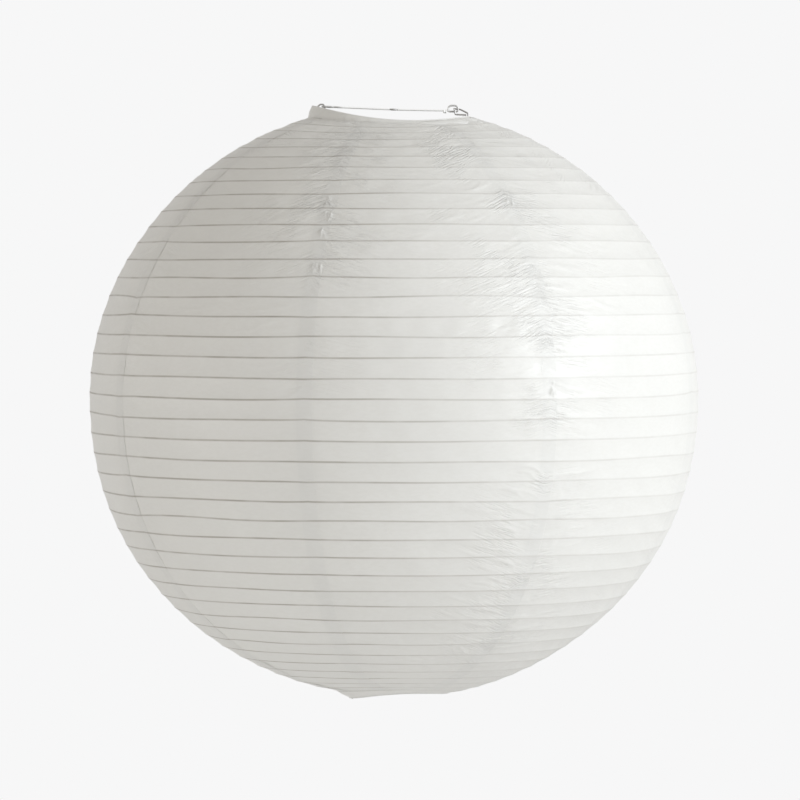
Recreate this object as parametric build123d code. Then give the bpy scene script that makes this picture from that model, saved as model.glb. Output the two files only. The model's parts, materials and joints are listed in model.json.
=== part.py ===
from build123d import *

import os
from math import acos, copysign, cos, hypot, pi, radians, sin

# A round paper lantern, held open by a bent-wire expander. Millimetres, +Z up.
# The origin is the hanging eye at the middle of the crossbar, on the shade's axis.
# The crossbar runs along X, and both legs and all the bent wires lie near the XZ plane.

# ---- the shade's outline, a superellipse above and below the equator ----
SHADE_RADIUS = 300
EQUATOR_Z = -282
CROWN_HEIGHT = 286.2
BELLY_HEIGHT = 295.8
WIDTH_POWER = 1.95
CROWN_POWER = 1.95
BELLY_POWER = 2.16

# ---- ribs: closed wire hoops, an equal distance apart along the paper ----
RIB_COUNT = 41
RIB_WIRE = 0.9
FIRST_RIB_RADIUS = 82
LAST_RIB_RADIUS = 63

# ---- the two mouth hoops ----
HOOP_WIRE = 1.6
TOP_HOOP_RADIUS = 78
TOP_HOOP_Z = -2.6
TOP_HOOP_SAG = 10.8
TOP_HOOP_SLOPE = -0.0667
TOP_HOOP_SHIFT = -2.3
BOTTOM_HOOP_RADIUS = 49.3
BOTTOM_HOOP_Z = -578.7
BOTTOM_HOOP_SAG = -5.4
BOTTOM_HOOP_SLOPE = 0.0507
BOTTOM_HOOP_SHIFT = 5.4

# ---- paper ----
GORE_COUNT = 8
FIRST_SEAM_DEG = -61
PAPER = 0.3
PAPER_GAP = 0.3

# ---- expander: crossbar and legs ----
BAR_WIRE = 1.8
BAR_SLOPE = -0.041
EYE_RADIUS = 2.6
FLAT_LOOP_X = (-70.6, -60.4)
FLAT_LOOP_HALF_WIDTH = 3.4
UPRIGHT_LOOP_X = (53.6, 63.2)
UPRIGHT_LOOP_Z = (-2.0, 3.9)
WRAP_X = 49.6
WRAP_TURNS = 2
WRAP_WIRE = 1.5
LEG_WIRE = 1.6
WIRE_GAP = 0.3
RIGHT_PIN = (59.5, 0.8)
LINK_HALF_WIDTH = 2.7
SHAFT_X = 36
SHAFT_TOP_Z = -50
SHAFT_BOTTOM_Z = -545
KNEE_RADIUS = 0.95
SHOULDER_RADIUS = 12
TAIL = 4


def outline_point(angle):
    """Radius and height above the equator: angle runs from pi/2 at the top to -pi/2 at the bottom."""
    if angle >= 0:
        height, power = CROWN_HEIGHT, CROWN_POWER
    else:
        height, power = BELLY_HEIGHT, BELLY_POWER
    radius = SHADE_RADIUS * cos(angle) ** (2 / WIDTH_POWER)
    return radius, copysign(height * abs(sin(angle)) ** (2 / power), angle)


def outline_angle(radius):
    """The outline's angle where it has this radius, above the equator."""
    return acos((radius / SHADE_RADIUS) ** (WIDTH_POWER / 2))


def rib_stations():
    """Radius and height of each rib, an equal distance apart along the outline."""
    steps = 4000
    top = outline_angle(FIRST_RIB_RADIUS)
    bottom = -outline_angle(LAST_RIB_RADIUS)
    points = [outline_point(top + (bottom - top) * i / steps) for i in range(steps + 1)]
    walked = [0]
    for (r0, h0), (r1, h1) in zip(points, points[1:]):
        walked.append(walked[-1] + hypot(r1 - r0, h1 - h0))
    pitch = walked[-1] / (RIB_COUNT - 1)
    stations = []
    for k in range(RIB_COUNT):
        nearest = min(range(steps + 1), key=lambda i: abs(walked[i] - k * pitch))
        stations.append(points[nearest])
    return stations


def make_ring(radius, z, sag=0, slope=0, shift=0):
    """The numbers that describe one ring's centre line."""
    return {"radius": radius, "z": z, "sag": sag, "slope": slope, "shift": shift}


def ring_point(ring, angle, outwards=0):
    """A point on a ring's centre line, or a distance outwards from it."""
    x = (ring["radius"] + outwards) * cos(angle)
    y = (ring["radius"] + outwards) * sin(angle)
    z = ring["z"] + ring["slope"] * x - ring["sag"] * (1 - cos(2 * angle)) / 2
    return Vector(x + ring["shift"], y, z)


def rib_rings():
    """Every rib from the top down. They are flat, level circles."""
    return [make_ring(radius, EQUATOR_Z + height) for radius, height in rib_stations()]


def wire_ring(ring, wire):
    """A closed ring of round wire: a torus where the ring is flat, otherwise two swept halves."""
    if ring["sag"] == 0 and ring["slope"] == 0:
        return Pos(0, 0, ring["z"]) * Torus(ring["radius"], wire / 2)
    path = Spline(*[ring_point(ring, radians(a)) for a in range(0, 360, 15)], periodic=True)
    halves = []
    for span in ((0, 0.5), (0.5, 1)):
        half = path.trim(*span)
        halves.append(sweep(Plane(half @ 0, z_dir=half % 0) * Circle(wire / 2), path=half))
    return halves[0] + halves[1]


def offset_outline(points, distance):
    """The outline moved outwards, square to the paper at each rib."""
    moved = []
    for i, (radius, z) in enumerate(points):
        r0, z0 = points[max(i - 1, 0)]
        r1, z1 = points[min(i + 1, len(points) - 1)]
        span = hypot(r1 - r0, z1 - z0)
        moved.append((radius + (z0 - z1) / span * distance, z + (r1 - r0) / span * distance))
    return moved


def paper_gore(index, ribs):
    """One gore of paper from the first rib to the last, straight between each rib and the next."""
    points = [(rib["radius"], rib["z"]) for rib in ribs]
    inside = offset_outline(points, RIB_WIRE / 2 + PAPER_GAP)
    outside = offset_outline(points, RIB_WIRE / 2 + PAPER_GAP + PAPER)
    profile = make_face(Polyline(*[(r, 0, z) for r, z in [*inside, *reversed(outside)]], close=True))
    gore = revolve(profile, Axis.Z, revolution_arc=360 / GORE_COUNT)
    return Rot(Z=FIRST_SEAM_DEG - 90 + 360 / GORE_COUNT * index) * gore


def bent_wire(points, radii, wire):
    """Round wire along straight runs joined by arcs, one radius for each corner."""
    path = FilletPolyline(*points, radius=radii)
    return sweep(Plane(path @ 0, z_dir=path % 0) * Circle(wire / 2), path=path)


def straight_wire(start, end, wire):
    """A straight run of round wire."""
    path = Line(start, end)
    return sweep(Plane(path @ 0, z_dir=path % 0) * Circle(wire / 2), path=path)


def bar_point(x):
    """A point on the crossbar's axis, which hangs a little lower on the right."""
    return (x, 0, BAR_SLOPE * x)


def flat_loop():
    """The crossbar's left end: a long loop lying flat, made of two U bends."""
    outer, inner = FLAT_LOOP_X
    middle = (outer + inner) / 2
    side = FLAT_LOOP_HALF_WIDTH
    bends = []
    for x, radius in ((outer, side - 0.1), (inner, 1.8)):
        corners = [(middle, side), (x, side), (x, -side), (middle, -side)]
        points = [(px, py, BAR_SLOPE * px) for px, py in corners]
        bends.append(bent_wire(points, [radius, radius], BAR_WIRE))
    return bends[0] + bends[1]


def upright_loop():
    """The crossbar's right end: a D-shaped loop standing on its flat side, made of two U bends."""
    near, far = UPRIGHT_LOOP_X
    low, high = UPRIGHT_LOOP_Z
    middle = (near + far) / 2
    bends = []
    for x in (near, far):
        points = [(middle, 0, low), (x, 0, low), (x, 0, high), (middle, 0, high)]
        bends.append(bent_wire(points, [1.4, 3.4], BAR_WIRE))
    return bends[0] + bends[1]


def crossbar():
    """One wire: the flat loop, a run to the hanging eye, a run to the upright loop, and its wrapped tail."""
    near, low = UPRIGHT_LOOP_X[0], UPRIGHT_LOOP_Z[0]
    bar = Torus(EYE_RADIUS, BAR_WIRE / 2)
    bar += straight_wire(bar_point(FLAT_LOOP_X[1]), bar_point(-EYE_RADIUS), BAR_WIRE)
    bar += straight_wire(bar_point(EYE_RADIUS), (near, 0, low + BAR_WIRE / 2), BAR_WIRE)
    for turn in range(WRAP_TURNS):
        x = WRAP_X + WRAP_WIRE * turn
        bar += Pos(*bar_point(x)) * Rot(Y=90) * Torus(1, WRAP_WIRE / 2)
    return bar + flat_loop() + upright_loop()


def leg_wire(side, top_points, top_radii, top_hoop, bottom_hoop):
    """One leg: its top, a knee under the top hoop, the shaft, and a foot on the bottom hoop."""
    reach = HOOP_WIRE / 2 + WIRE_GAP + LEG_WIRE / 2
    upper = ring_point(top_hoop, 0 if side > 0 else pi)
    lower = ring_point(bottom_hoop, 0 if side > 0 else pi)
    knee_z = upper.Z - reach
    foot_z = lower.Z + reach
    foot_in = abs(lower.X) - reach - HOOP_WIRE / 2
    points = [
        *top_points,
        (upper.X - side * 2.4, 0, knee_z),
        (upper.X, 0, knee_z),
        (upper.X - side, 0, knee_z - 8),
        (side * SHAFT_X, 0, SHAFT_TOP_Z),
        (side * SHAFT_X, 0, SHAFT_BOTTOM_Z),
        (side * (foot_in + 3.2), 0, foot_z),
        (side * foot_in, 0, foot_z),
        (side * foot_in, 0, foot_z - TAIL),
    ]
    knee = [KNEE_RADIUS, KNEE_RADIUS]
    radii = [*top_radii, *knee, 3, SHOULDER_RADIUS, SHOULDER_RADIUS, *knee]
    return bent_wire(points, radii, LEG_WIRE)


def left_leg(top_hoop, bottom_hoop):
    """Its top curls over the outer bend of the flat loop."""
    loop_z = bar_point(FLAT_LOOP_X[0])[2]
    inner = FLAT_LOOP_X[0] + 2.1
    outer = FLAT_LOOP_X[0] - 2.1
    top = [(inner, 0, loop_z - 2.4), (inner, 0, loop_z + 2.1), (outer, 0, loop_z + 2.1)]
    return leg_wire(-1, top, [2.0, 2.0], top_hoop, bottom_hoop)


def right_leg(top_hoop, bottom_hoop):
    """Its top is a narrow link: in front of the upright loop, through it, and back behind it."""
    x, z = RIGHT_PIN
    side = LINK_HALF_WIDTH
    knee_x = ring_point(top_hoop, 0).X
    top = [
        (x + 12, -side + 0.9, z - 6.2),
        (x + 1.2, -side, z - 5.8),
        (x, -side, z),
        (x, side, z),
        (x + 6, side, z - 0.6),
        (knee_x - 2.4, 0, z - 4.6),
    ]
    return leg_wire(1, top, [1.2, 1.2, 1.2, 5, 2.5], top_hoop, bottom_hoop)


def main():
    os.makedirs("parts", exist_ok=True)
    ribs = rib_rings()
    top_hoop = make_ring(TOP_HOOP_RADIUS, TOP_HOOP_Z, TOP_HOOP_SAG, TOP_HOOP_SLOPE, TOP_HOOP_SHIFT)
    bottom_hoop = make_ring(
        BOTTOM_HOOP_RADIUS, BOTTOM_HOOP_Z, BOTTOM_HOOP_SAG, BOTTOM_HOOP_SLOPE, BOTTOM_HOOP_SHIFT
    )
    export_step(crossbar(), "parts/crossbar.step")
    export_step(left_leg(top_hoop, bottom_hoop), "parts/left_leg.step")
    export_step(right_leg(top_hoop, bottom_hoop), "parts/right_leg.step")
    export_step(wire_ring(top_hoop, HOOP_WIRE), "parts/top_hoop.step")
    export_step(wire_ring(bottom_hoop, HOOP_WIRE), "parts/bottom_hoop.step")
    for number, rib in enumerate(ribs, start=1):
        export_step(wire_ring(rib, RIB_WIRE), f"parts/rib_{number:02d}.step")
    for index in range(GORE_COUNT):
        export_step(paper_gore(index, ribs), f"parts/paper_gore_{index + 1}.step")


main()
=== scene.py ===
import json
from math import pi, radians

import bpy
import numpy as np
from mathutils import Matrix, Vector


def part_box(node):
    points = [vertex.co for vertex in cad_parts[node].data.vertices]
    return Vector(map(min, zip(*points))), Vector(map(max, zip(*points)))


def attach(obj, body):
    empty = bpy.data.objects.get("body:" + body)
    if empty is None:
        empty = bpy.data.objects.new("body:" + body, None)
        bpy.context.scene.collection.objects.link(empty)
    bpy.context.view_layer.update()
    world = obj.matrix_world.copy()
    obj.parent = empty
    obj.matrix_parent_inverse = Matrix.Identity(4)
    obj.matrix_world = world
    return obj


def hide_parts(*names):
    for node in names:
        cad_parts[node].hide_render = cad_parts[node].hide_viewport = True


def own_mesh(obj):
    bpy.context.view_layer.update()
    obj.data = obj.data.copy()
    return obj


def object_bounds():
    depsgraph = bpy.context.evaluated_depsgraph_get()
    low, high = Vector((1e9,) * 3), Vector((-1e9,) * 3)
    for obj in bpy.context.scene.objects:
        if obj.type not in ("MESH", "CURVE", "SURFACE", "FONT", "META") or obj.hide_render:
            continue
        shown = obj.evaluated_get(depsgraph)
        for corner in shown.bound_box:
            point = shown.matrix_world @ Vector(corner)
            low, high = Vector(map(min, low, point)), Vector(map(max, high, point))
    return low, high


# The looks of a round paper lantern. Metres, in the CAD frame: the origin is the hanging eye, +Z up.
# Angles run round the shade from +X, so -90 degrees faces the camera.

MM = 0.001

# ---- camera ----
CAMERA_PLACE = (0.006, -4.33, -0.159)
CAMERA_TARGET = (0.006, 0, -0.287)
CAMERA_LENS_MM = 197

# ---- paper ----
PAPER = 0.15 * MM
PAPER_OFF_RIB = 0.6 * MM  # from a rib's centre line to the paper's outer face
SEAM_HALF_WIDTH = 8 * MM
SEAM_LIFT = 0.18 * MM  # how far the upper sheet of a lap is lifted
LAP_GAP = 0.3 * MM  # how far the lower sheet is tucked in under the upper one
BAND_HOLLOW = 0.4 * MM  # how far the paper sinks halfway between two ribs
BAND_WAVE_COUNT = 4

# ---- meshes ----
GORE_COLUMNS = 150
COLUMN_CROWDING = 0.09  # how much closer together the columns stand near the seams
EDGE_SHARE = 0.0006  # the outermost columns' share of the width, narrow so that the edge stays crisp
ROWS_PER_BAND = 14
RING_STEPS = 240

# ---- ribs ----
WOBBLES = 3
KINK_REACH = 14 * MM  # how far from a seam a rib is kinked
STIFF_AT_MOUTHS = 60 * MM  # along the paper, how far from a mouth the ribs wobble less

# ---- collars ----
COLLAR_PUCKERS = 14
COLLAR_BULGE = 0.5 * MM
COLLAR_UNDER_GORE = 0.1 * MM
HOOP_CLEARANCE = 0.12 * MM
TAB_DROP = 0.5 * MM
FLAP_AT_LEGS = 1.5 * MM
FLAP_ELSEWHERE = 8.5 * MM
LEGS_REACH = (0.14, 0.30)  # the sines of the angles where the flap is still short and where it is full

# ---- the paper's colours ----
PAPER_DARK = (0.835, 0.828, 0.80)
PAPER_LIGHT = (0.855, 0.848, 0.82)
FIBRE_TINT = (0.80, 0.79, 0.755)
# the colour of a lap's painted shade
LAP_SHADE_TINT = (0.72, 0.72, 0.70)
# the colour of the wires' painted shadows on the paper
RIB_SHADOW_TINT = (0.18, 0.12, 0.05)
LIGHT_THROUGH = 0.36  # how much of the paper's look is light that comes through it

# ---- how dark the wires' painted shadows on the paper are ----
RIB_SHADOW_THROUGH = 0.7
RIB_SHADOW_ON_TOP = 0.42
RIB_SHADOW_MM = (0.2, 1.25)  # how far from a rib its dark line starts to fade, and where it ends
WIRE_SHADOW_X = [-0.9, -0.7, -0.42, -0.08, 0.17, 0.7]  # x on a circle of radius 1
WIRE_SHADOW_AROUND = [1.0, 1.1, 1.2, 0.92, 0.55, 0.25]
WIRE_SHADOW_PLACES = [0, 0.3, 0.5, 1]  # 0 at the top rib and 1 at the bottom one
WIRE_SHADOW_DOWN = [0.92, 0.92, 1.0, 1.1]

# ---- crossbar, as distances from the eye between which it turns from painted shade to painted highlight and back ----
EYE_PAINTED_SHADE = (3 * MM, 5 * MM)
ENDS_PAINTED_SHADE = (50 * MM, 57 * MM)

# ---- light and floor ----
LIGHT_SIZE = 1.6
KEY_PLACE = (2.55, -1.3, 0.9)  # from the middle of the shade
KEY_POWER = 63
KEY_COLOUR = (0.90, 0.95, 1.0)
FILL_PLACE = (-2.4, -1.2, -0.9)
FILL_POWER = 14
FILL_COLOUR = (1.0, 0.985, 0.95)
WORLD_BRIGHT = (0.93, 0.93, 0.932)
WORLD_DIM = (0.53, 0.50, 0.46)
WORLD_DIM_SIDE = (-0.5, -0.1, 0.86)
FLOOR_DROP = 0.68
FLOOR_RADIUS = 3.4
FLOOR_COLOUR = (0.93, 0.93, 0.93)

rng = np.random.default_rng(7)

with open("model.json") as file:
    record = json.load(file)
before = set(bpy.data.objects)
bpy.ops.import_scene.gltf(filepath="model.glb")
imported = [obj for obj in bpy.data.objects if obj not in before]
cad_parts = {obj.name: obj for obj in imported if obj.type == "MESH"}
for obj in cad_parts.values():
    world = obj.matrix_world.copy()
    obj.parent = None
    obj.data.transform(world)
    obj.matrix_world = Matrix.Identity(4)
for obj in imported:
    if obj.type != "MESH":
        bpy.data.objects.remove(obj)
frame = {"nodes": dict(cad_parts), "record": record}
cad_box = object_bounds()
nodes = frame["nodes"]


# ======================================================================== measures taken from the frame
def points_of(node):
    """A CAD node's vertices as an array."""
    flat = np.zeros(len(nodes[node].data.vertices) * 3)
    nodes[node].data.vertices.foreach_get("co", flat)
    return flat.reshape(-1, 3)


def rib_measures(names):
    """Wire radius, and each rib's radius and height."""
    radii, heights = [], []
    for name in names:
        low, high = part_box(name)
        wire = high.z - low.z
        radii.append((high.x - low.x - wire) / 2)
        heights.append((high.z + low.z) / 2)
    return wire / 2, np.array(radii), np.array(heights)


def hoop_line(node):
    """A function from angle to the hoop's centre line, fitted to the CAD mesh."""
    co = points_of(node)
    low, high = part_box(node)
    centre_x = (low.x + high.x) / 2
    angle = np.arctan2(co[:, 1], co[:, 0] - centre_x)
    radius = np.hypot(co[:, 1], co[:, 0] - centre_x).mean()
    waves = np.stack([np.ones_like(angle), np.cos(angle), np.cos(2 * angle)], axis=1)
    fit = np.linalg.lstsq(waves, co[:, 2], rcond=None)[0]

    def line(a):
        z = fit[0] + fit[1] * np.cos(a) + fit[2] * np.cos(2 * a)
        return centre_x + radius * np.cos(a), radius * np.sin(a), z

    return line


def first_seam():
    """The angle where gore 1 starts."""
    middle = points_of("paper_gore_1").mean(axis=0)
    return np.arctan2(middle[1], middle[0]) - GORE_ANGLE / 2


rib_names = sorted(n for n in nodes if n.startswith("rib_"))
gore_names = sorted(n for n in nodes if n.startswith("paper_gore_"))
body_of_node = {n: b for b, members in frame["record"]["behaviour"]["bodies"].items() for n in members}
ROOT = body_of_node["top_hoop"]
RIB_WIRE, RIB_R, RIB_Z = rib_measures(rib_names)
LAST = len(rib_names) - 1
GORE_ANGLE = 2 * pi / len(gore_names)
SEAM_0 = first_seam()
HOOPS = {node: hoop_line(node) for node in ("top_hoop", "bottom_hoop")}

# distance of each rib along the paper from the first one, and which way the paper faces there
ARC = np.concatenate([[0], np.cumsum(np.hypot(np.diff(RIB_R), np.diff(RIB_Z)))])
ALONG_R = np.gradient(RIB_R, ARC)
ALONG_Z = np.gradient(RIB_Z, ARC)
FROM_END = ARC[LAST] - ARC


# ======================================================================== how the ribs lie
def step(value, start, end):
    """0 where the value is at the start and 1 where it is at the end, straight in between."""
    return np.clip((value - start) / (end - start), 0, 1)


def close_to(distance, reach):
    """1 at no distance, falling smoothly to almost nothing at twice the reach."""
    return np.exp(-((distance / reach) ** 2))


# The expander pulls the ribs out of flat. At the front and the back, the ribs near the top mouth dip and
# those below the belly rise. At the two sides, the ribs near both mouths dip.
FRONT_BOW = MM * (
    -7.7 * close_to(ARC, 0.075)
    - 0.6 * step(ARC, 0.4, 0)
    + 2.4 * step(ARC, 0.38, 0.5)
    + 0.8 * close_to(FROM_END, 0.04)
)
SIDE_BOW = MM * (-1.0 * close_to(ARC, 0.075) - 2.5 * close_to(FROM_END, 0.12))
# The bottom mouth stands off the axis towards +X and the top one towards -X.
SIDE_SHIFT = MM * (5.2 * np.exp(-FROM_END / 0.05) - 2.6 * np.exp(-ARC / 0.04))
# Radians about Y, the opposite way at the two ends.
TILT = np.interp(ARC / ARC[LAST], [0, 0.5, 1], [0.0085, 0.0, -0.006])

WOBBLE_SIZE = rng.uniform(0.1, 0.45, (LAST + 1, WOBBLES)) * MM
WOBBLE_PHASE = rng.uniform(0, 2 * pi, (LAST + 1, WOBBLES))
WOBBLE_WAVES = rng.integers(2, 11, (LAST + 1, WOBBLES))
SEAM_KINK = rng.normal(0, 0.7, (LAST + 1, len(gore_names))) * MM
FREE = step(np.minimum(ARC, FROM_END), 0, STIFF_AT_MOUTHS)


def seam_angle(k):
    """The angle where gore k + 1 starts."""
    return SEAM_0 + GORE_ANGLE * k


def rib_line(k, angle):
    """Radius, height and sideways shift of rib k at an angle. k and angle are arrays of one shape."""
    slide = TILT[k] * RIB_R[k] * np.cos(angle) * ALONG_Z[k]
    for w in range(WOBBLES):
        slide = slide + WOBBLE_SIZE[k, w] * np.sin(WOBBLE_WAVES[k, w] * angle + WOBBLE_PHASE[k, w])
    for s in range(len(gore_names)):
        off = np.abs((angle - seam_angle(s) + pi) % (2 * pi) - pi) * RIB_R[k]
        slide = slide + SEAM_KINK[k, s] * np.exp(-off / KINK_REACH)
    place = ARC[k] + slide * FREE[k]
    bow = FRONT_BOW[k] * np.sin(angle) ** 2 + SIDE_BOW[k] * np.cos(angle) ** 2
    return np.interp(place, ARC, RIB_R), np.interp(place, ARC, RIB_Z) + bow, SIDE_SHIFT[k]


def paper_line(k, angle, off):
    """The paper's line over rib k, which lies a little outside the wire."""
    radius, height, shift = rib_line(k, angle)
    return radius - ALONG_Z[k] * off, height + ALONG_R[k] * off, shift


# ======================================================================== meshes
def grid_object(name, points, attributes=None, wrap_columns=False, wrap_rows=False):
    """A mesh of quads through a grid of points, rows by columns."""
    rows, columns = points.shape[:2]
    index = np.arange(rows * columns).reshape(rows, columns)
    if wrap_columns:
        index = np.concatenate([index, index[:, :1]], axis=1)
    if wrap_rows:
        index = np.concatenate([index, index[:1]], axis=0)
    corners = [index[:-1, :-1], index[1:, :-1], index[1:, 1:], index[:-1, 1:]]
    quads = np.stack(corners, axis=-1).reshape(-1, 4)
    mesh = bpy.data.meshes.new(name)
    mesh.vertices.add(rows * columns)
    mesh.vertices.foreach_set("co", points.reshape(-1).astype(np.float32))
    mesh.loops.add(quads.size)
    mesh.loops.foreach_set("vertex_index", quads.reshape(-1).astype(np.int32))
    mesh.polygons.add(len(quads))
    mesh.polygons.foreach_set("loop_start", np.arange(0, quads.size, 4, dtype=np.int32))
    mesh.polygons.foreach_set("use_smooth", np.ones(len(quads), bool))
    for key, values in (attributes or {}).items():
        layer = mesh.attributes.new(key, "FLOAT", "POINT")
        layer.data.foreach_set("value", values.reshape(-1).astype(np.float32))
    mesh.update(calc_edges=True)
    mesh.validate()
    obj = bpy.data.objects.new(name, mesh)
    bpy.context.scene.collection.objects.link(obj)
    return obj


def thicken(obj, thickness):
    """Gives a sheet its thickness, inwards."""
    solid = obj.modifiers.new("thickness", "SOLIDIFY")
    solid.thickness = thickness
    solid.offset = -1
    solid.use_even_offset = False


def dress(obj, material, body):
    """Material and body for a finished piece."""
    obj.data.materials.append(material)
    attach(obj, body)


def tube_ring(name, centres, wire_radius, sides=8):
    """Round wire along a closed line of points."""
    ahead = np.roll(centres, -1, axis=0) - np.roll(centres, 1, axis=0)
    ahead /= np.linalg.norm(ahead, axis=1, keepdims=True)
    up = np.array([0, 0, 1.0])
    out = np.cross(ahead, up)
    out /= np.linalg.norm(out, axis=1, keepdims=True)
    over = np.cross(out, ahead)
    turn = np.arange(sides) * 2 * pi / sides
    rings = centres[None] + wire_radius * (
        np.cos(turn)[:, None, None] * out[None] + np.sin(turn)[:, None, None] * over[None]
    )
    return grid_object(name, rings, wrap_columns=True, wrap_rows=True)


# ======================================================================== creases in the paper
# How creased the paper is beside each of the eight seams, and how far the creases reach.
SEAM_CREASES = np.array([0.7, 1.35, 1.0, 0.6, 0.5, 0.8, 0.7, 0.9])
SEAM_REACH = np.array([30, 56, 66, 36, 30, 50, 30, 40]) * MM
# How that changes downwards: a place is 0 at the top rib and 1 at the bottom one. Two of the seams stay
# creased all the way down, the others mostly above the belly.
CREASED_SEAMS = (2, 5)
CREASE_PLACES = [0, 0.1, 0.25, 0.4, 0.5, 0.56, 0.75, 0.9, 1]
CREASE_SHARES = {
    True: [1.5, 1.5, 1.2, 0.9, 0.85, 0.9, 1.0, 0.75, 0.5],
    False: [1.1, 1.1, 0.9, 0.45, 0.2, 0.2, 0.15, 0.2, 0.2],
}
REACH_PLACES = [0, 0.15, 0.4, 1]
REACH_SHARES = [1.9, 1.5, 1.0, 0.95]
RELIEF_REACH = 2.2  # creases further out than this many reaches are left out
PINCHED_BANDS = {1: (8, 9, 10, 12), 2: (8, 18), 4: (9, 10), 6: (11,)}  # by seam
CREASES_PER_BAND = 8
PINCHES_PER_BAND = 6
CREASE_BEND = 0.06
# Above this place the creases fall away from the seam, below it they rise.
CREASE_TURN = 0.54
STEEP_PLACES = [0, 0.15, 0.4, CREASE_TURN, CREASE_TURN + 0.01, 1]
STEEP_DEGREES = [42, 34, 24, 16, -16, -26]
STEEP_SHARE_ON_RIGHT = 0.55
# The finest creases are left to the paper's material. Their noise is drawn out by these lengths.
FINE_CREASE_LONG_MM = 26
FINE_CREASE_WIDE_MM = 3.4
FINE_CREASE_HEIGHT = 0.42 * MM
FINE_CREASE_SPREAD = 1.05
NOISE_OFFSET = 0.4  # metres between the parts of the noise that are used on two sides of a seam
CREASE_RNG = np.random.default_rng(41)


def crease_share(seam, place):
    """How creased the paper is by a seam at a place down the shade."""
    return SEAM_CREASES[seam] * np.interp(place, CREASE_PLACES, CREASE_SHARES[seam in CREASED_SEAMS])


def crease_reach(seam, place):
    """How far the creases reach from a seam at a place down the shade."""
    return SEAM_REACH[seam] * np.interp(place, REACH_PLACES, REACH_SHARES)


def band_pinches(width):
    """Short steep folds where the paper is pinched at a seam, in a band of this width. Like every
    crease, each runs from one u and v to another, u being out from the seam and v down the band."""
    made = []
    for _ in range(PINCHES_PER_BAND):
        start = CREASE_RNG.uniform(-1, 6) * MM
        top = CREASE_RNG.uniform(0.05, 0.6) * width
        made.append({
            "u": (start, start + CREASE_RNG.uniform(-3, 3) * MM),
            "v": (top, top + CREASE_RNG.uniform(0.25, 0.4) * width),
            "height": CREASE_RNG.uniform(0.5, 1.0) * MM,
            "width": CREASE_RNG.uniform(0.7, 1.1) * MM,
            "bend": CREASE_BEND,
        })
    return made


def long_folds(width):
    """Long curved folds that stand out among the creases of a band below the belly."""
    made = []
    for _ in range(CREASE_RNG.integers(0, 3)):
        start = CREASE_RNG.uniform(0, 22) * MM
        top = CREASE_RNG.uniform(0.1, 0.5) * width
        made.append({
            "u": (start, start + CREASE_RNG.uniform(18, 42) * MM),
            "v": (top + CREASE_RNG.uniform(0.3, 0.5) * width, top),
            "height": CREASE_RNG.uniform(0.5, 0.9) * MM,
            "width": CREASE_RNG.uniform(1.2, 1.8) * MM,
            "bend": CREASE_RNG.uniform(-0.16, -0.06),
        })
    return made


def band_creases(seam, side, band):
    """Creases in one band on one side of a seam: each runs outwards from the seam across the band."""
    place = band / LAST
    strength = crease_share(seam, place)
    reach = crease_reach(seam, place)
    falling = place < CREASE_TURN
    down = 1 if falling else -1
    longest = 3.2 if falling else 3.8
    widest = 1.9 if falling else 2.4
    width = ARC[band + 1] - ARC[band]
    pinched = side == "right" and band in PINCHED_BANDS.get(seam, ())
    made = band_pinches(width) if pinched else []
    for _ in range(CREASE_RNG.poisson(CREASES_PER_BAND * strength)):
        start = CREASE_RNG.exponential(0.3) * reach - 4 * MM
        length = CREASE_RNG.uniform(0.7, longest) * width
        rise = CREASE_RNG.uniform(0.25, 0.9) * min(length, width) * down
        middle = CREASE_RNG.uniform(0.15, 0.85) * width
        made.append({
            "u": (start, start + length),
            "v": (middle - rise / 2, middle + rise / 2),
            "height": np.clip(CREASE_RNG.normal(0.06, 0.26) * (0.5 + strength), -0.22, 0.5) * MM,
            "width": CREASE_RNG.uniform(0.8, widest) * MM,
            "bend": CREASE_BEND,
        })
    if not falling and side == "left" and seam in CREASED_SEAMS:
        made.extend(long_folds(width))
    return made


def crease_height(creases, u, v):
    """Height of the creases at places u out from the seam and v down the band."""
    total = np.zeros_like(u)
    for c in creases:
        u0, u1 = c["u"]
        v0, v1 = c["v"]
        long = np.hypot(u1 - u0, v1 - v0)
        eu, ev = (u1 - u0) / long, (v1 - v0) / long
        along = ((u - u0) * eu + (v - v0) * ev) / long
        across = (u - u0) * ev - (v - v0) * eu
        across = across + c["bend"] * long * np.sin(along * pi)
        ends = np.clip(np.minimum(along, 1 - along) * 4, 0, 1)
        total += c["height"] * ends * np.exp(-np.abs(across) / c["width"])
    return total


def seam_relief(seam, off, down):
    """Height of the creases on both sides of a seam, off being the distance past it.
    Both sheets of a lap get the same relief, so they don't cut through each other."""
    height = np.zeros_like(off)
    near = np.abs(off).min(axis=0) < SEAM_REACH[seam] * RELIEF_REACH
    for band in range(LAST):
        rows = slice(band * ROWS_PER_BAND, (band + 1) * ROWS_PER_BAND)
        for side, sign in (("right", 1), ("left", -1)):
            out = sign * off[rows][:, near]
            part = crease_height(CREASES[seam, band, side], out, down[rows][:, near])
            height[rows, near] = height[rows, near] + part
    return height


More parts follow.
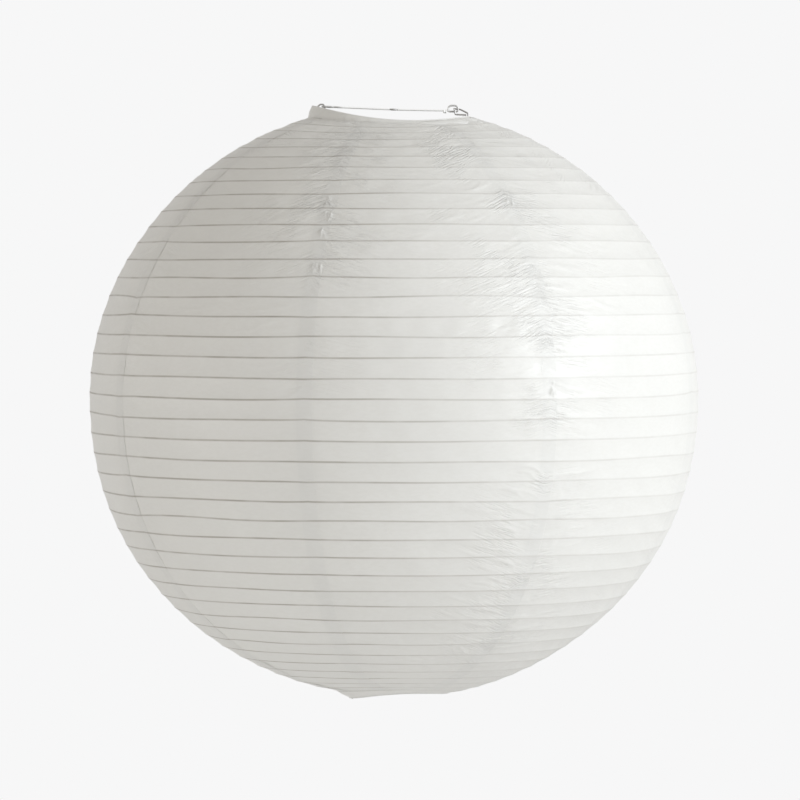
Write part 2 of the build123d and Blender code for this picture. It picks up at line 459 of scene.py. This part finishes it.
def fine_creases(off_left, off_right, place, down_paper, seams):
    """How finely creased the paper is, and where each point lies along and across its creases, in mm."""
    at = np.broadcast_to(place, off_left.shape)
    nearer_left = np.abs(off_left) < np.abs(off_right)
    off = np.where(nearer_left, np.abs(off_left), np.abs(off_right))
    seam_index = np.where(nearer_left, seams[0], seams[1])
    shares = np.stack([crease_share(s, at) for s in seams])
    reaches = np.stack([crease_reach(s, at) for s in seams])
    spreads = shares * close_to(np.stack([off_left, off_right]), FINE_CREASE_SPREAD * reaches)
    steep = np.radians(np.interp(place, STEEP_PLACES, STEEP_DEGREES))
    steep = steep * np.where(nearer_left, STEEP_SHARE_ON_RIGHT, 1)
    along = off * np.cos(steep) + down_paper * np.sin(steep)
    across = down_paper * np.cos(steep) - off * np.sin(steep)
    across = across + (seam_index * 2 + nearer_left) * NOISE_OFFSET
    # the direction changes halfway between two seams and at the turn, so the creases fade out there
    from_halfway = np.abs(np.abs(off_left) - np.abs(off_right))
    from_turn = np.abs(at - CREASE_TURN)
    fade = step(from_halfway, 3.6 * MM, 15.6 * MM) * step(from_turn, 0.0075, 0.0325)
    return spreads.max(axis=0) * fade, along / MM, across / MM


def gore_angles(gore, radius_here):
    """The angles of a gore's columns, row by row. They stand closer together near the seams, and go
    past them by half a lap."""
    across = np.linspace(0, 1, GORE_COLUMNS - 1)
    across = across - COLUMN_CROWDING * np.sin(2 * pi * across)
    across = np.concatenate([[0], EDGE_SHARE + (1 - 2 * EDGE_SHARE) * across, [1]])[None]
    half_lap = SEAM_HALF_WIDTH / radius_here
    return seam_angle(gore) - half_lap + (GORE_ANGLE + 2 * half_lap) * across


def band_shape(gore, band, slack, from_left):
    """How far the paper stands out between the ribs: a little hollow, with low waves along the band."""
    height = -BAND_HOLLOW * slack
    for w in range(BAND_WAVE_COUNT):
        length = BAND_LENGTHS[gore, :, w][band]
        phase = BAND_PHASES[gore, :, w][band]
        size = BAND_SIZES[gore, :, w][band]
        height = height + slack * size * np.sin(from_left / length * 2 * pi + phase)
    return height


def lap_shape(from_left, from_right):
    """The upper sheet's lift at the right seam, and the lower sheet's tuck at the left one."""
    lift = SEAM_LIFT * step(from_right, 1.4 * SEAM_HALF_WIDTH, 0.6 * SEAM_HALF_WIDTH)
    tuck = LAP_GAP * step(from_left, SEAM_HALF_WIDTH, 0.6 * SEAM_HALF_WIDTH)
    return lift, tuck


def wire_shadow(angle, place):
    """How dark the wires' painted shadows on the paper are: most on the -X side, away from the key
    light.
    """
    around = np.interp(np.cos(angle), WIRE_SHADOW_X, WIRE_SHADOW_AROUND)
    return around * np.interp(place, WIRE_SHADOW_PLACES, WIRE_SHADOW_DOWN)


def gore_paper(gore):
    """One gore. Its bands are a little hollow between the ribs. It is creased beside its two seams, laps
    over the next gore, and carries the marks that its material needs."""
    position = np.arange(LAST * ROWS_PER_BAND + 1) / ROWS_PER_BAND
    band = np.minimum(position.astype(int), LAST - 1)[:, None]
    share = position[:, None] - band
    place = position[:, None] / LAST
    rib_numbers = np.arange(LAST + 1)
    radius_here = np.interp(position, rib_numbers, RIB_R)[:, None]
    down_paper = np.interp(position, rib_numbers, ARC)[:, None]
    angle = gore_angles(gore, radius_here)
    band = np.broadcast_to(band, angle.shape)
    share = np.broadcast_to(share, angle.shape)
    r0, z0, shift0 = paper_line(band, angle, PAPER_OFF_RIB)
    r1, z1, shift1 = paper_line(band + 1, angle, PAPER_OFF_RIB)
    width = np.hypot(r1 - r0, z1 - z0)
    out_r, out_z = (z0 - z1) / width, (r1 - r0) / width
    slack = 4 * share * (1 - share)  # 0 at the ribs and 1 halfway between them

    from_left = (angle - seam_angle(gore)) * radius_here
    from_right = (seam_angle(gore + 1) - angle) * radius_here
    seams = (gore, (gore + 1) % len(gore_names))
    relief = seam_relief(seams[0], from_left, share * width)
    relief = relief + seam_relief(seams[1], -from_right, share * width)
    lift, tuck = lap_shape(from_left, from_right)
    height = band_shape(gore, band, slack, from_left) + np.sqrt(slack) * relief
    height = height + lift - tuck

    radius = r0 + (r1 - r0) * share + out_r * height
    z = z0 + (z1 - z0) * share + out_z * height
    shift = shift0 + (shift1 - shift0) * share
    points = np.stack([radius * np.cos(angle) + shift, radius * np.sin(angle), z], axis=-1)
    fine, along, over = fine_creases(from_left, from_right, place, down_paper, seams)
    marks = {
        "rib_mm": np.minimum(share, 1 - share) * width / MM,
        "seam_mm": np.minimum(np.abs(from_left), np.abs(from_right)) / MM,
        "crease": fine,
        "crease_along": along,
        "crease_across": over,
        # how dark the wires' painted shadows are here
        "wire_shadow": wire_shadow(angle, place),
    }
    return grid_object(f"paper_{gore + 1}", points, marks)


BAND_LENGTHS = rng.uniform(28, 120, (len(gore_names), LAST, BAND_WAVE_COUNT)) * MM
BAND_PHASES = rng.uniform(0, 2 * pi, (len(gore_names), LAST, BAND_WAVE_COUNT))
BAND_SIZES = rng.uniform(0.02, 0.16, (len(gore_names), LAST, BAND_WAVE_COUNT)) * MM
CREASES = {
    (seam, band, side): band_creases(seam, side, band)
    for seam in range(len(gore_names))
    for side in ("right", "left")
    for band in range(LAST)
}


# ======================================================================== collars
def hoop_wire_radius(hoop):
    """The hoop's outermost x less its centre line's."""
    low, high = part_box(hoop)
    return high.x - HOOPS[hoop](np.array([0.0]))[0][0]


def collar_puckers(angle):
    """Small puckers round a collar."""
    pucker = np.zeros_like(angle)
    for _ in range(COLLAR_PUCKERS):
        pucker += rng.uniform(0.02, 0.1) * np.sin(rng.integers(5, 60) * angle + rng.uniform(0, 2 * pi))
    return pucker * MM


def collar_points(hoop, rib, tab_share, inwards):
    """The paper between a mouth's hoop and the rib next to it, folded over the hoop and glued inside.
    tab_share is how far it runs on under the first band, as a share of that band. inwards is -1 where
    the inside of the shade is below the hoop, and 1 where it is above. Returns rows of points, one row
    after another from the gores to the end of the flap."""
    angle = np.arange(RING_STEPS * 2) * pi / RING_STEPS
    hoop_x, hoop_y, hoop_z = HOOPS[hoop](angle)
    hoop_r = np.hypot(hoop_x, hoop_y)
    hoop_angle = np.arctan2(hoop_y, hoop_x)
    rib_r, rib_z, shift = paper_line(np.full(angle.shape, rib), angle, PAPER_OFF_RIB - COLLAR_UNDER_GORE)
    rib_reach = np.hypot(rib_r * np.cos(angle) + shift, rib_r * np.sin(angle))
    next_r, next_z, _ = rib_line(np.full(angle.shape, rib - inwards), angle)
    pucker = collar_puckers(angle)
    clear_of_legs = step(np.abs(np.sin(angle)), *LEGS_REACH)
    flap = FLAP_AT_LEGS + (FLAP_ELSEWHERE - FLAP_AT_LEGS) * clear_of_legs + pucker * 2
    wrap = hoop_wire_radius(hoop) + HOOP_CLEARANCE
    rows = []
    if tab_share:
        tab_z = rib_z + (next_z - rib_z) * tab_share - TAB_DROP
        rows.append((rib_reach + (next_r - rib_reach) * tab_share, tab_z))
    rows.append((rib_reach, rib_z))
    for part in (0.25, 0.5, 0.75):  # from the rib to the hoop
        bulge = np.sin(part * pi) * (pucker + COLLAR_BULGE)
        reach = rib_reach + (hoop_r + wrap - rib_reach) * part + bulge
        rows.append((reach, rib_z + (hoop_z - rib_z) * part))
    for turn in range(0, 181, 30):  # degrees over the hoop
        a = radians(turn)
        rows.append((hoop_r + wrap * np.cos(a), hoop_z - inwards * wrap * np.sin(a)))
    # the flap, leaning off the hoop a little
    rows.append((hoop_r - wrap - 0.1 * MM, hoop_z + inwards * flap * 0.5))
    rows.append((hoop_r - wrap - 0.3 * MM + pucker, hoop_z + inwards * flap))
    across, deep = np.cos(hoop_angle), np.sin(hoop_angle)
    return np.stack([np.stack([r * across, r * deep, z], axis=-1) for r, z in rows])


# ======================================================================== materials
def new_material(name):
    """An empty material: its node tree, its Principled shader and its output."""
    material = bpy.data.materials.new(name)
    material.use_nodes = True
    tree = material.node_tree
    tree.nodes.clear()
    shader = tree.nodes.new("ShaderNodeBsdfPrincipled")
    output = tree.nodes.new("ShaderNodeOutputMaterial")
    return material, tree, shader, output


def ramp(tree, socket, low, high, at_low, at_high):
    """A value that changes smoothly from at_low to at_high as the input goes from low to high."""
    node = tree.nodes.new("ShaderNodeMapRange")
    node.interpolation_type = "SMOOTHSTEP"
    for key, value in (("From Min", low), ("From Max", high), ("To Min", at_low), ("To Max", at_high)):
        node.inputs[key].default_value = value
    tree.links.new(socket, node.inputs["Value"])
    return node.outputs["Result"]


def calculate(tree, operation, a, b):
    """The result of an operation on a socket and another socket or a number."""
    node = tree.nodes.new("ShaderNodeMath")
    node.operation = operation
    tree.links.new(a, node.inputs[0])
    if isinstance(b, (int, float)):
        node.inputs[1].default_value = b
    else:
        tree.links.new(b, node.inputs[1])
    return node.outputs[0]


def noise(tree, scale, detail, stretch=(1, 1, 1)):
    """Noise laid out in the piece's own space."""
    place = tree.nodes.new("ShaderNodeTexCoord")
    mapping = tree.nodes.new("ShaderNodeMapping")
    mapping.inputs["Scale"].default_value = stretch
    texture = tree.nodes.new("ShaderNodeTexNoise")
    texture.inputs["Scale"].default_value = scale
    texture.inputs["Detail"].default_value = detail
    tree.links.new(place.outputs["Object"], mapping.inputs["Vector"])
    tree.links.new(mapping.outputs["Vector"], texture.inputs["Vector"])
    return texture.outputs["Fac"]


def mix_colour(tree, factor, a, b):
    """A colour between a and b, each a socket or a colour."""
    node = tree.nodes.new("ShaderNodeMix")
    node.data_type = "RGBA"
    tree.links.new(factor, node.inputs["Factor"])
    # a mix node's colours go in at its sockets 6 and 7, and the result comes out at its socket 2
    for socket, value in ((node.inputs[6], a), (node.inputs[7], b)):
        if isinstance(value, tuple):
            socket.default_value = (*value, 1)
        else:
            tree.links.new(value, socket)
    return node.outputs[2]


def mark(tree, name):
    """A mark left on the paper's mesh, as a socket."""
    node = tree.nodes.new("ShaderNodeAttribute")
    node.attribute_name = name
    return node.outputs["Fac"]


def fine_crease_height(tree):
    """Fine sharp creases, as a share of their full height: ridges of a noise drawn out along them."""
    place = tree.nodes.new("ShaderNodeCombineXYZ")
    along = calculate(tree, "MULTIPLY", mark(tree, "crease_along"), 1 / FINE_CREASE_LONG_MM)
    across = calculate(tree, "MULTIPLY", mark(tree, "crease_across"), 1 / FINE_CREASE_WIDE_MM)
    tree.links.new(along, place.inputs["X"])
    tree.links.new(across, place.inputs["Y"])
    texture = tree.nodes.new("ShaderNodeTexNoise")
    texture.inputs["Scale"].default_value = 1
    texture.inputs["Detail"].default_value = 2.5
    texture.inputs["Roughness"].default_value = 0.55
    texture.inputs["Distortion"].default_value = 0.15
    tree.links.new(place.outputs["Vector"], texture.inputs["Vector"])
    from_middle = calculate(tree, "SUBTRACT", texture.outputs["Fac"], 0.5)
    ridge = calculate(tree, "ABSOLUTE", from_middle, 0)
    sharp = ramp(tree, ridge, 0.0, 0.16, 1, 0)
    patches = ramp(tree, noise(tree, 22, 2), 0.40, 0.62, 0.08, 1)
    height = calculate(tree, "MULTIPLY", sharp, mark(tree, "crease"))
    return calculate(tree, "MULTIPLY", height, patches)


def paper_material(name, painted_shadows_and_creases):
    """Thin white paper that lets some light through, with painted shadows of the rib wires as fine dark
    lines.
    """
    material, tree, shader, output = new_material(name)
    mottle = ramp(tree, noise(tree, 9, 3), 0.3, 0.7, 0, 1)
    colour = mix_colour(tree, mottle, PAPER_DARK, PAPER_LIGHT)
    fibre = ramp(tree, noise(tree, 160, 4, (1, 1, 2.5)), 0.35, 0.65, 0, 0.3)
    colour = mix_colour(tree, fibre, colour, FIBRE_TINT)
    through_colour = colour
    relief = calculate(tree, "MULTIPLY", noise(tree, 420, 3, (1, 1, 2)), 0.1)
    if painted_shadows_and_creases:
        # painted shade: a lap is two sheets thick and lets less light through, so it is painted a little
        # darker
        lap_shade = ramp(tree, mark(tree, "seam_mm"), 7.0, 8.4, 0.1, 0.0)
        colour = mix_colour(tree, lap_shade, colour, LAP_SHADE_TINT)
        # painted shadows of the wires behind the paper: dark lines over them, uneven along their length
        line = ramp(tree, mark(tree, "rib_mm"), *RIB_SHADOW_MM, 1, 0)
        patchy = ramp(tree, noise(tree, 26, 2, (1, 1, 6)), 0.35, 0.65, 0.6, 1.0)
        line = calculate(tree, "MULTIPLY", line, patchy)
        line = calculate(tree, "MULTIPLY", line, mark(tree, "wire_shadow"))
        # the painted shadows are darker in the light that comes through the paper than on its face
        shadow_through = calculate(tree, "MULTIPLY", line, RIB_SHADOW_THROUGH)
        shadow_on_top = calculate(tree, "MULTIPLY", line, RIB_SHADOW_ON_TOP)
        through_colour = mix_colour(tree, shadow_through, colour, RIB_SHADOW_TINT)
        colour = mix_colour(tree, shadow_on_top, colour, RIB_SHADOW_TINT)
        relief = calculate(tree, "ADD", relief, fine_crease_height(tree))
    tree.links.new(colour, shader.inputs["Base Color"])
    shader.inputs["Roughness"].default_value = 0.40
    shader.inputs["Specular IOR Level"].default_value = 0.6
    bump = tree.nodes.new("ShaderNodeBump")
    bump.inputs["Strength"].default_value = 1
    bump.inputs["Distance"].default_value = FINE_CREASE_HEIGHT
    tree.links.new(relief, bump.inputs["Height"])
    tree.links.new(bump.outputs["Normal"], shader.inputs["Normal"])
    through = tree.nodes.new("ShaderNodeBsdfTranslucent")
    tree.links.new(through_colour, through.inputs["Color"])
    tree.links.new(bump.outputs["Normal"], through.inputs["Normal"])
    both = tree.nodes.new("ShaderNodeMixShader")
    both.inputs[0].default_value = LIGHT_THROUGH
    tree.links.new(shader.outputs[0], both.inputs[1])
    tree.links.new(through.outputs[0], both.inputs[2])
    tree.links.new(both.outputs[0], output.inputs["Surface"])
    return material


def wire_material(name, colour, roughness, shade_change=0.78):
    """Drawn steel wire with faint changes in its gloss and colour. shade_change is its darkest shade."""
    material, tree, shader, output = new_material(name)
    shade = ramp(tree, noise(tree, 60, 3), 0.3, 0.7, 0, 1)
    darker = tuple(c * shade_change for c in colour)
    gloss = ramp(tree, noise(tree, 240, 3), 0.3, 0.7, roughness, roughness + 0.12)
    tree.links.new(mix_colour(tree, shade, darker, colour), shader.inputs["Base Color"])
    tree.links.new(gloss, shader.inputs["Roughness"])
    shader.inputs["Metallic"].default_value = 1
    tree.links.new(shader.outputs[0], output.inputs["Surface"])
    return material


def crossbar_material(name, bright, shaded_colour):
    """The crossbar's wire: a painted highlight where it is straight, painted shade at its eye and where
    its ends are bent.
    """
    material, tree, shader, output = new_material(name)
    place = tree.nodes.new("ShaderNodeTexCoord")
    parts = tree.nodes.new("ShaderNodeSeparateXYZ")
    tree.links.new(place.outputs["Object"], parts.inputs["Vector"])
    from_eye = calculate(tree, "ABSOLUTE", parts.outputs["X"], 0)
    eye_shade = ramp(tree, from_eye, *EYE_PAINTED_SHADE, 1, 0)
    ends_shade = ramp(tree, from_eye, *ENDS_PAINTED_SHADE, 0, 1)
    # painted highlight along the straight wire, painted shade at the eye and the bent ends
    share = calculate(tree, "ADD", eye_shade, ends_shade)
    tree.links.new(mix_colour(tree, share, bright, shaded_colour), shader.inputs["Base Color"])
    shader.inputs["Metallic"].default_value = 0.4
    shader.inputs["Roughness"].default_value = 0.5
    tree.links.new(shader.outputs[0], output.inputs["Surface"])
    return material


def plain_material(name, colour):
    """A matt material for the floor."""
    material, tree, shader, output = new_material(name)
    shader.inputs["Base Color"].default_value = (*colour, 1)
    shader.inputs["Roughness"].default_value = 0.9
    tree.links.new(shader.outputs[0], output.inputs["Surface"])
    return material


def give_material(node, material):
    """A shown CAD node's material."""
    slots = nodes[node].data.materials
    slots.clear()
    slots.append(material)


paper = paper_material("paper", painted_shadows_and_creases=True)
collar_paper = paper_material("collar_paper", painted_shadows_and_creases=False)
rib_wire = wire_material("rib_wire", (0.46, 0.44, 0.40), roughness=0.42)
hoop_wire = wire_material("hoop_wire", (0.50, 0.49, 0.47), roughness=0.38)
expander_wire = wire_material("expander_wire", (0.50, 0.49, 0.48), roughness=0.42, shade_change=0.9)
# the crossbar's bright colour is its painted highlight, the other its painted shade
crossbar_wire = crossbar_material("crossbar_wire", bright=(0.98, 0.98, 0.97), shaded_colour=(0.55, 0.54, 0.53))

# ======================================================================== the lantern
# name, hoop, the rib next to it, the share of the first band that its tab covers, and inwards
COLLARS = (
    ("top_collar", "top_hoop", 0, 0.8, -1),
    ("bottom_collar", "bottom_hoop", LAST, 0.0, 1),
)


def add_gores():
    """The eight gores."""
    for gore, node in enumerate(gore_names):
        sheet = gore_paper(gore)
        thicken(sheet, PAPER)
        dress(sheet, paper, ROOT)
        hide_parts(node)
        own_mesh(sheet)


def add_ribs():
    """The wire ribs."""
    angle = np.arange(RING_STEPS) * 2 * pi / RING_STEPS
    for k, node in enumerate(rib_names):
        radius, height, shift = rib_line(np.full(RING_STEPS, k), angle)
        centres = np.stack([radius * np.cos(angle) + shift, radius * np.sin(angle), height], axis=-1)
        ring = tube_ring(f"{node}_wire", centres, RIB_WIRE)
        dress(ring, rib_wire, body_of_node[node])
        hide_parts(node)
        if 0 < k < LAST:
            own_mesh(ring)


def add_collars():
    """The paper over the two hoops."""
    for name, hoop, rib, tab_share, inwards in COLLARS:
        points = collar_points(hoop, rib, tab_share, inwards)
        sheet = grid_object(name, points, wrap_columns=True)
        thicken(sheet, PAPER)
        dress(sheet, collar_paper, body_of_node[hoop])


def add_wires():
    """The materials of the pieces that are shown as the CAD model has them."""
    give_material("crossbar", crossbar_wire)
    for node in ("left_leg", "right_leg"):
        give_material(node, expander_wire)
    for node in ("top_hoop", "bottom_hoop"):
        give_material(node, hoop_wire)


add_gores()
add_ribs()
add_collars()
add_wires()


# ======================================================================== camera, light and floor
def aim(obj, place, target):
    """Puts a camera or a light in its place and turns it to its target."""
    obj.location = place
    obj.rotation_mode = "QUATERNION"
    obj.rotation_quaternion = (Vector(target) - Vector(place)).to_track_quat("-Z", "Y")


def add_camera():
    """The scene's camera."""
    data = bpy.data.cameras.new("camera")
    data.lens = CAMERA_LENS_MM
    data.sensor_width = 36
    data.clip_end = 100
    camera = bpy.data.objects.new("camera", data)
    bpy.context.scene.collection.objects.link(camera)
    aim(camera, CAMERA_PLACE, CAMERA_TARGET)
    bpy.context.scene.camera = camera


def add_area_light(name, place, target, size, power, colour):
    """A round lamp."""
    data = bpy.data.lights.new(name, "AREA")
    data.shape = "DISK"
    data.size = size
    data.energy = power
    data.color = colour
    light = bpy.data.objects.new(name, data)
    bpy.context.scene.collection.objects.link(light)
    aim(light, place, target)


def add_world(bright, dim, dim_side):
    """An even white surround that is dimmer towards one side."""
    world = bpy.data.worlds.new("world")
    world.use_nodes = True
    tree = world.node_tree
    place = tree.nodes.new("ShaderNodeTexCoord")
    facing = tree.nodes.new("ShaderNodeVectorMath")
    facing.operation = "DOT_PRODUCT"
    facing.inputs[1].default_value = Vector(dim_side).normalized()
    tree.links.new(place.outputs["Generated"], facing.inputs[0])
    share = ramp(tree, facing.outputs["Value"], 0.2, 1.0, 0, 1)
    tree.links.new(mix_colour(tree, share, bright, dim), tree.nodes["Background"].inputs["Color"])
    bpy.context.scene.world = world


def add_floor(height, radius, colour):
    """A plain round floor."""
    place = (0, 0, height)
    bpy.ops.mesh.primitive_circle_add(vertices=96, radius=radius, fill_type="NGON", location=place)
    floor = bpy.context.active_object
    floor.name = "floor"
    floor.data.materials.append(plain_material("floor", colour))


low, high = cad_box
middle = (low + high) / 2
add_camera()
add_world(WORLD_BRIGHT, WORLD_DIM, WORLD_DIM_SIDE)
add_area_light("key", middle + Vector(KEY_PLACE), middle, LIGHT_SIZE, KEY_POWER, KEY_COLOUR)
add_area_light("fill", middle + Vector(FILL_PLACE), middle, LIGHT_SIZE, FILL_POWER, FILL_COLOUR)
add_floor(low.z - FLOOR_DROP, FLOOR_RADIUS, FLOOR_COLOUR)
bpy.context.scene.view_settings.view_transform = "Standard"
